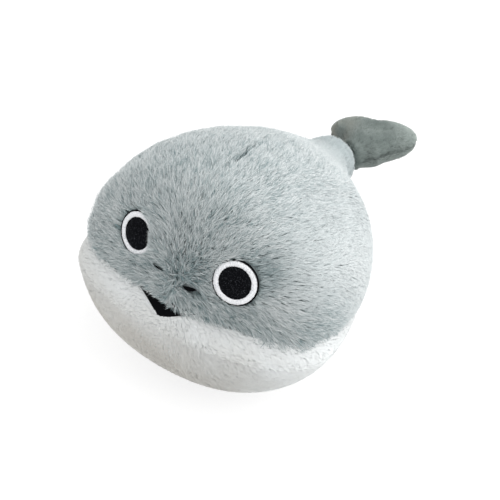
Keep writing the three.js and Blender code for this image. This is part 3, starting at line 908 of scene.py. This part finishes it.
def mouth_felt():
    """A triangle of felt that follows the belly, with a soft edge."""
    rows, columns = 18, 72
    points = [
        (MOUTH[0] + (MOUTH_HALF * (1 - i / rows) + 0.3) * (2 * j / columns - 1), i / rows * MOUTH_DROP)
        for i in range(rows + 1) for j in range(columns + 1)]
    front = (surface[:, 1] < -30) & (surface[:, 2] > 55) & (surface[:, 2] < 105) & (np.abs(surface[:, 0]) < 60)
    near, near_normals = surface[front], surface_normals[front]
    found = []
    for x, drop in points:
        z = seam_height(-NOSE_LENGTH + 2) - drop
        away = (near[:, 0] - x) ** 2 + (near[:, 2] - z) ** 2
        order = np.argsort(away)[:8]
        weight = np.exp(-away[order] / 6)
        weight /= weight.sum()
        normal = unit((near_normals[order] * weight[:, None]).sum(0))
        place = (near[order] * weight[:, None]).sum(0)
        y = place[1] - (normal[0] * (x - place[0]) + normal[2] * (z - place[2])) / normal[1]
        found.append(np.r_[x, y, z, normal])
    found = np.array(found)
    top, normal = found[:, :3], found[:, 3:]
    top = top - normal * (FELT_DEPTH + 0.5 * groove_depth(top))[:, None]
    bottom = top - normal * FELT_THICKNESS
    i, j = np.meshgrid(np.arange(rows), np.arange(columns), indexing="ij")
    a = (i * (columns + 1) + j).ravel()
    sheet = np.stack([a, a + 1, a + columns + 2, a + columns + 1], 1)
    loop = np.concatenate([
        np.arange(columns + 1),
        np.arange(2, rows + 2) * (columns + 1) - 1,
        rows * (columns + 1) + np.arange(columns - 1, -1, -1),
        np.arange(rows - 1, 0, -1) * (columns + 1),
    ])
    after = np.roll(loop, -1)
    rim = np.stack([after, loop, loop + len(top), after + len(top)], 1)
    faces = [np.vstack([sheet[:, ::-1], sheet + len(top)]), rim[:, ::-1] if outward(top, normal) else rim]
    return np.vstack([top, bottom]), faces


points, faces = mouth_felt()
mouth = make_mesh("mouth_felt", points, faces, "body", felt)
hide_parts("mouth_patch")


# Eyes: satin rings and a filled pupil
PUPIL_RADIUS = 13.0
STITCH_HEIGHT = 1.2   # how far the stitches' sides stand up
EYE_SAG = 1.1         # how far an eye's edge lies behind its middle


def disc_points(eye, u, v, height):
    lift = height - EYE_SAG * (np.hypot(u, v) / EYE_RADIUS) ** 2
    return eye["centre"] + u[:, None] * eye["side"] + v[:, None] * eye["up"] + lift[:, None] * eye["normal"]


def disc_ring(eye, radius, turn, height):
    return disc_points(eye, radius * np.cos(turn), radius * np.sin(turn), np.broadcast_to(height, turn.shape))


def satin_ring(name, eye, material, slot, node, inner, outer, stitches, crown, edge):
    """A band of stitches laid side by side across the ring."""
    per = 6
    count = stitches * per
    turn = np.arange(count) / count * 2 * np.pi
    stitch = np.arange(count) // per
    rib = np.sin((np.arange(count) % per + 0.5) / per * np.pi)
    ends = random.normal(0, edge, (2, stitches))
    low = random.normal(0, 0.1, stitches)
    points = []
    rows = np.linspace(0, 1, 11)
    for share in rows:
        radius = mix(inner + ends[0][stitch], outer + ends[1][stitch], share)
        swell = min(1, 6 * share * (1 - share) + 0.2)
        lift = STITCH_HEIGHT + crown * math.sin(share * math.pi) ** 0.6 + (0.25 * rib + low[stitch]) * swell
        points.append(disc_ring(eye, radius, turn, lift))
    for share in rows[::-1][1:-1:4]:
        points.append(disc_ring(eye, mix(inner, outer, share), turn, 0))
    faces = ring_grid(count, len(points) + 1) % (len(points) * count)
    piece = make_mesh(name, np.vstack(points), [faces], "body", material)
    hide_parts(node)


def filled_pupil(name, eye, node):
    """A round field of straight stitches in rows, each row shifted against the next."""
    rings, count = 62, 260
    turn = np.arange(count) / count * 2 * np.pi
    points = []
    pitch, stitch_length = 0.55, 3.4
    jag = random.normal(0, 0.12, count)
    for ring in range(1, rings + 1):
        r = PUPIL_RADIUS * ring / rings + jag * (ring / rings) ** 8
        u, v = r * np.cos(turn), r * np.sin(turn)
        row = np.floor(v / pitch)
        rib = np.sin((v / pitch - row) * np.pi)
        part = np.mod(u / stitch_length + row * 0.37, 1)
        end = np.exp(-((part - 0.5) * 2) ** 2 * 1.5)
        dome = STITCH_HEIGHT + 0.8 * (1 - (ring / rings) ** 2)
        lift = dome + 0.16 * rib * (0.5 + 0.5 * end) - 0.3 * (ring / rings) ** 14
        points.append(disc_points(eye, u, v, lift))
    points.append(disc_ring(eye, PUPIL_RADIUS, turn, 0))
    faces = ring_grid(count, rings + 1)
    points = np.vstack(points)
    top, bottom = len(points), len(points) + 1
    points = np.vstack([points, points[:count].mean(0), points[-count:].mean(0)])
    ring = np.arange(count)
    fan = np.stack([np.roll(ring, -1), ring, np.full(count, top)], 1)
    last = ring + rings * count
    floor_fan = np.stack([last, np.roll(last, -1), np.full(count, bottom)], 1)
    piece = make_mesh(name, points, [faces, np.vstack([fan, floor_fan])], "body", pupil_thread)
    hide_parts(node)


WHITE_BAND = {"inner": 12.7, "outer": 17.1, "stitches": 138, "crown": 0.7, "edge": 0.14}
BLACK_BAND = {"inner": 16.9, "outer": 18.1, "stitches": 96, "crown": 0.5, "edge": 0.08}
for name, eye in EYES.items():
    satin_ring(f"eye_ring_{name}", eye, white_thread, "white_thread", f"eye_white_{name}", **WHITE_BAND)
    satin_ring(f"eye_line_{name}", eye, black_thread, "black_thread", f"eye_outline_{name}", **BLACK_BAND)
    filled_pupil(f"eye_fill_{name}", eye, f"eye_pupil_{name}")


# Nostrils: a few thick threads side by side

def nostril(name, length, width):
    seat = NOSTRILS[name]
    centre, normal, along, across = (seat[key] for key in ("centre", "normal", "along", "across"))
    steps, sides, threads = 16, 8, 5
    cap = np.array([[0, 1, 2, 3], [0, 3, 4, 5], [0, 5, 6, 7]])
    made, faces = [], []
    for thread in range(threads):
        shift = (thread - (threads - 1) / 2) / threads * width
        reach = length / 2 * (1 - 0.35 * (2 * shift / width) ** 2)
        base = len(made) * (steps + 1) * sides
        rows = []
        for i in range(steps + 1):
            share = i / steps * 2 - 1
            bow = math.sqrt(max(1 - share * share, 0))
            thick = width / threads * 0.62 * (0.35 + 0.65 * bow)
            middle = centre + normal * (0.4 + 1.5 * bow) + along * share * reach
            middle = middle + across * shift * (0.25 + 0.75 * bow)
            for k in range(sides):
                turn = k / sides * 2 * math.pi
                rows.append(middle + thick * (math.cos(turn) * across + math.sin(turn) * normal))
        made.append(np.array(rows))
        faces += [base + ring_grid(sides, steps + 1), base + cap[:, [0, 3, 2, 1]], base + steps * sides + cap]
    piece = make_mesh(f"nostril_thread_{name}", np.vstack(made), [np.vstack(faces)],
                      "body", black_thread)
    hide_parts(f"nostril_stitch_{name}")


nostril("left", 12.0, 3.4)
nostril("right", 10.0, 1.1)


# Fluke: two lobes, blown up by a cloth simulation of the sewn cushion
FLUKE_VOXEL = 0.0025
FLUKE_PRESSURE = 4
FLUKE_SWELL = 0.003         # metres, the most that the pressure may move a point
FLUKE_FRAMES = 20
FLUKE_CLOTH_DEPTH = 1.6
FLUKE_FILLING_DEPTH = 4
RIM_WIDTH = 2.2
NECK = 26                   # how far from the stump's middle the fluke's own pile begins


def evaluated(piece):
    return piece.evaluated_get(bpy.context.evaluated_depsgraph_get())


def apply_modifiers(piece):
    bpy.context.view_layer.update()
    mesh = bpy.data.meshes.new_from_object(evaluated(piece))
    piece.modifiers.clear()
    piece.data = mesh


def blow_up(piece):
    """Simulates the piece as cloth with air pressure in it."""
    rest = values_of(piece.data.vertices, "co")
    cloth = piece.modifiers.new("Cloth", "CLOTH")
    settings = cloth.settings
    settings.use_pressure = True
    settings.uniform_pressure_force = FLUKE_PRESSURE
    settings.effector_weights.gravity = 0
    settings.quality = 6
    scene = bpy.context.scene
    for step in range(1, FLUKE_FRAMES + 1):
        scene.frame_set(step)
    move = values_of(evaluated(piece).data.vertices, "co") - rest
    piece.modifiers.clear()
    scene.frame_set(1)
    size = np.linalg.norm(move, axis=1, keepdims=True)
    move *= np.minimum(1, FLUKE_SWELL / np.maximum(size, 1e-9))
    piece.data.vertices.foreach_set("co", (rest + move).ravel())
    piece.data.update()


shape = bmesh.new()
for node in ("fluke_top_cover", "fluke_bottom_cover", "fluke_filling"):
    shape.from_mesh(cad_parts[node].data)
fluke = add_object("fluke_cloth", mesh_of(shape))
remesh = fluke.modifiers.new("Remesh", "REMESH")
remesh.mode = "VOXEL"
remesh.voxel_size = FLUKE_VOXEL
apply_modifiers(fluke)
blow_up(fluke)
smooth = fluke.modifiers.new("Smooth", "SMOOTH")
smooth.factor = 0.5
smooth.iterations = 6
apply_modifiers(fluke)

shape = bmesh.new()
shape.from_mesh(fluke.data)
bmesh.ops.triangulate(shape, faces=shape.faces[:])
fluke_points, fluke_normals, fluke_faces = arrays_of(shape)
fluke_points *= 1000
bpy.data.objects.remove(fluke)
fluke_middle = fluke_points.mean(0)
fluke_axes = np.linalg.eigh((fluke_points - fluke_middle).T @ (fluke_points - fluke_middle))[1]
fluke_up = fluke_axes[:, 0] * np.sign(fluke_axes[2, 0])
fluke_across = fluke_axes[:, 2] * np.sign(fluke_axes[0, 2])


def rim_groove(points):
    """How far the cloth is drawn in along the seam round the rim of the fluke."""
    start = ease((lengths(points - STUMP_END) - NECK) / 6)
    return 2.6 * bell((points - fluke_middle) @ fluke_up, RIM_WIDTH) * start


sunk = fluke_normals * rim_groove(fluke_points)[:, None]
fluke_cloth = make_mesh("fluke_cloth", fluke_points - fluke_normals * FLUKE_CLOTH_DEPTH - sunk, [fluke_faces],
                        "fluke", dark_cloth)
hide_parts("fluke_top_cover", "fluke_bottom_cover")
fluke_stuffing = make_mesh("fluke_stuffing", fluke_points - fluke_normals * FLUKE_FILLING_DEPTH, [fluke_faces],
                           "fluke", fibre)
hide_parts("fluke_filling")
places, normals = tuft_places(fluke_points, fluke_normals, fluke_faces, FLUKE_SPACING)
seen = lengths(places - STUMP_END) > STUMP_RADIUS + 0.5
places, normals = places[seen], normals[seen]
lay = unit(places - np.array([10, 170, 72.0])) + 0.2 * np.stack([wobble(places, 14, 70 + k) for k in range(3)], 1)
lay = unit(lay - normals * dot(lay, normals))
FLUKE = {
    **PILE, "fibres": 8, "spread": 0.9, "length": 3.4, "depth": 1.5 + rim_groove(places), "lift": 1.6, "keep": None,
    "width": 0.52, "tone": 0.07, "tuft_tone": 0.03, "light": 0.48, "turn": 0.4,
}
height = (places - fluke_middle) @ fluke_up
across = (places - fluke_middle) @ fluke_across
# Painted light and shade on the fluke's pile over a mottled tone: lighter on the under cover, painted light toward
# the lobes' ends, a painted highlight where it faces back and up, painted shade at the root by the stump and in the
# seam groove round the rim
shade = 1 + 0.2 * wobble(places, 12, 81) + 0.12 * wobble(places, 5, 82)
shade += 0.3 * (height < -1) + 0.6 * ease((np.abs(across) - 16) / 22)
shade += 0.55 * ease((normals @ np.array([0, 0.8, 0.6]) - 0.5) / 0.4)
shade -= 0.4 * ease(1 - (lengths(places - STUMP_END) - NECK) / 12)
shade -= 0.4 * bell(height, RIM_WIDTH)
tint_and_painted_shade = 0.5 * ease((-across - 5) / 25) * ease(0.6 + 0.4 * wobble(places, 10, 83))
pile("fluke_pile", "fluke", dark_pile, places, normals, lay, {**FLUKE, "shade": shade, "tint_and_painted_shade": tint_and_painted_shade})


# Studio: pale floor, soft light from the fish's left and from above, and the camera

def maths(tree, operation, first, second):
    node = tree.nodes.new("ShaderNodeMath")
    node.operation = operation
    feed(tree, node.inputs[0], first)
    feed(tree, node.inputs[1], second)
    return node.outputs[0]


def camera_only(tree):
    """1 for what the camera, mirrors and glass see, 0 for the light that falls on things."""
    rays = tree.nodes.new("ShaderNodeLightPath").outputs
    seen = maths(tree, "MAXIMUM", rays["Is Camera Ray"], rays["Is Glossy Ray"])
    return maths(tree, "MAXIMUM", seen, rays["Is Transmission Ray"])


def two_values(tree, falling, seen):
    """The first value for the light that falls on things, the second for what is seen."""
    node = tree.nodes.new("ShaderNodeMapRange")
    node.inputs["To Min"].default_value = falling
    node.inputs["To Max"].default_value = seen
    tree.links.new(camera_only(tree), node.inputs["Value"])
    return node.outputs[0]


world = bpy.data.worlds.new("studio")
bpy.context.scene.world = world
world.use_nodes = True
tree = world.node_tree
background = tree.nodes["Background"]
background.inputs["Color"].default_value = (1, 1, 1, 1)
tree.links.new(two_values(tree, 0.9, 1.0), background.inputs["Strength"])

PAPER_GLOW = 0.78
floor_material, tree, shader = new_material("floor_paper", 0.9, 0.1)
tree.links.new(two_values(tree, 0.8, 0.3), shader.inputs["Base Color"])
glow = tree.nodes.new("ShaderNodeEmission")
glow.inputs["Color"].default_value = (1, 1, 1, 1)
tree.links.new(maths(tree, "MULTIPLY", camera_only(tree), PAPER_GLOW), glow.inputs["Strength"])
total = tree.nodes.new("ShaderNodeAddShader")
tree.links.new(shader.outputs[0], total.inputs[0])
tree.links.new(glow.outputs[0], total.inputs[1])
tree.links.new(total.outputs[0], tree.nodes["Material Output"].inputs["Surface"])
bpy.ops.mesh.primitive_plane_add(size=6, location=(0, 0, 0))
floor = bpy.context.object
floor.name = "floor"
floor.data.materials.append(floor_material)

AIM = Vector((0, 0.02, 0.08))


def area_light(name, direction, distance, size, power):
    data = bpy.data.lights.new(name, "AREA")
    data.shape = "DISK"
    data.size = size
    data.energy = power
    light = add_object(name, data)
    light.location = AIM + Vector(direction).normalized() * distance
    light.rotation_euler = (AIM - light.location).to_track_quat("-Z", "Y").to_euler()


area_light("key", (0.9, 0.45, 0.75), 1.5, 1.8, 13.7)
area_light("top", (0.1, 0.3, 1), 1.6, 1.2, 6)

# Camera, worked out from the outline in the photograph
AZIMUTH = math.radians(31.58)
ELEVATION = math.radians(44.27)
ROLL = math.radians(2.44)
DISTANCE = 0.90435
TARGET = Vector((0, 0, 0.0753))
level = math.cos(ELEVATION)
back = Vector((math.sin(AZIMUTH) * level, -math.cos(AZIMUTH) * level, math.sin(ELEVATION)))
data = bpy.data.cameras.new("camera")
data.sensor_width = 36
data.lens = 80.74
data.shift_x = 0.0449
data.shift_y = 0.0262
data.clip_start = 0.05
camera = add_object("camera", data)
camera.location = TARGET + back * DISTANCE
camera.rotation_euler = (back.to_track_quat("Z", "Y").to_matrix() @ Matrix.Rotation(ROLL, 3, "Z")).to_euler()
bpy.context.scene.camera = camera
bpy.context.scene.view_settings.view_transform = "Standard"
